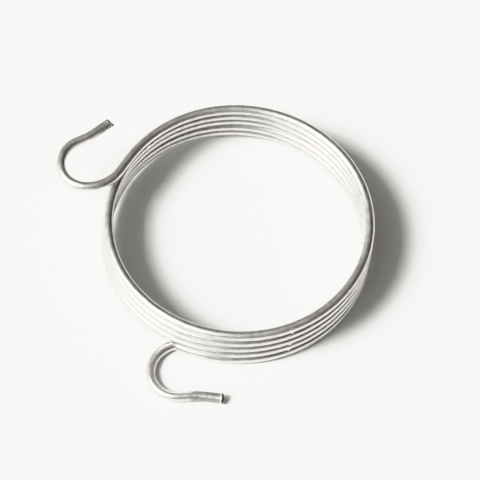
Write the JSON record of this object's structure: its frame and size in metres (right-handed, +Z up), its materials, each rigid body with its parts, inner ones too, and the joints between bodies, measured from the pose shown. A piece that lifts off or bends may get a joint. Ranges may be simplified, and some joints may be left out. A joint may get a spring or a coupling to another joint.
{
  "type": "torsion spring",
  "caption": "Close-wound round-wire torsion spring: a short wide cylindrical coil with an outward open C hook at each end, both hooks on the same side.",
  "frame": {"origin": "on the coil axis, in the plane the lowest turn rests on", "axes": "+Z up along the coil axis, away from the resting plane; the bottom hook opens on the -Y side and the top hook on the -X side"},
  "size_m": [0.0317, 0.0313, 0.0061],
  "materials": {
    "bright_wire": "bright drawn spring wire, lengthwise drawing lines, satin to glossy"
  },
  "bodies": {
    "root": {"spring_wire": "bright_wire"}
  },
  "joints": []
}
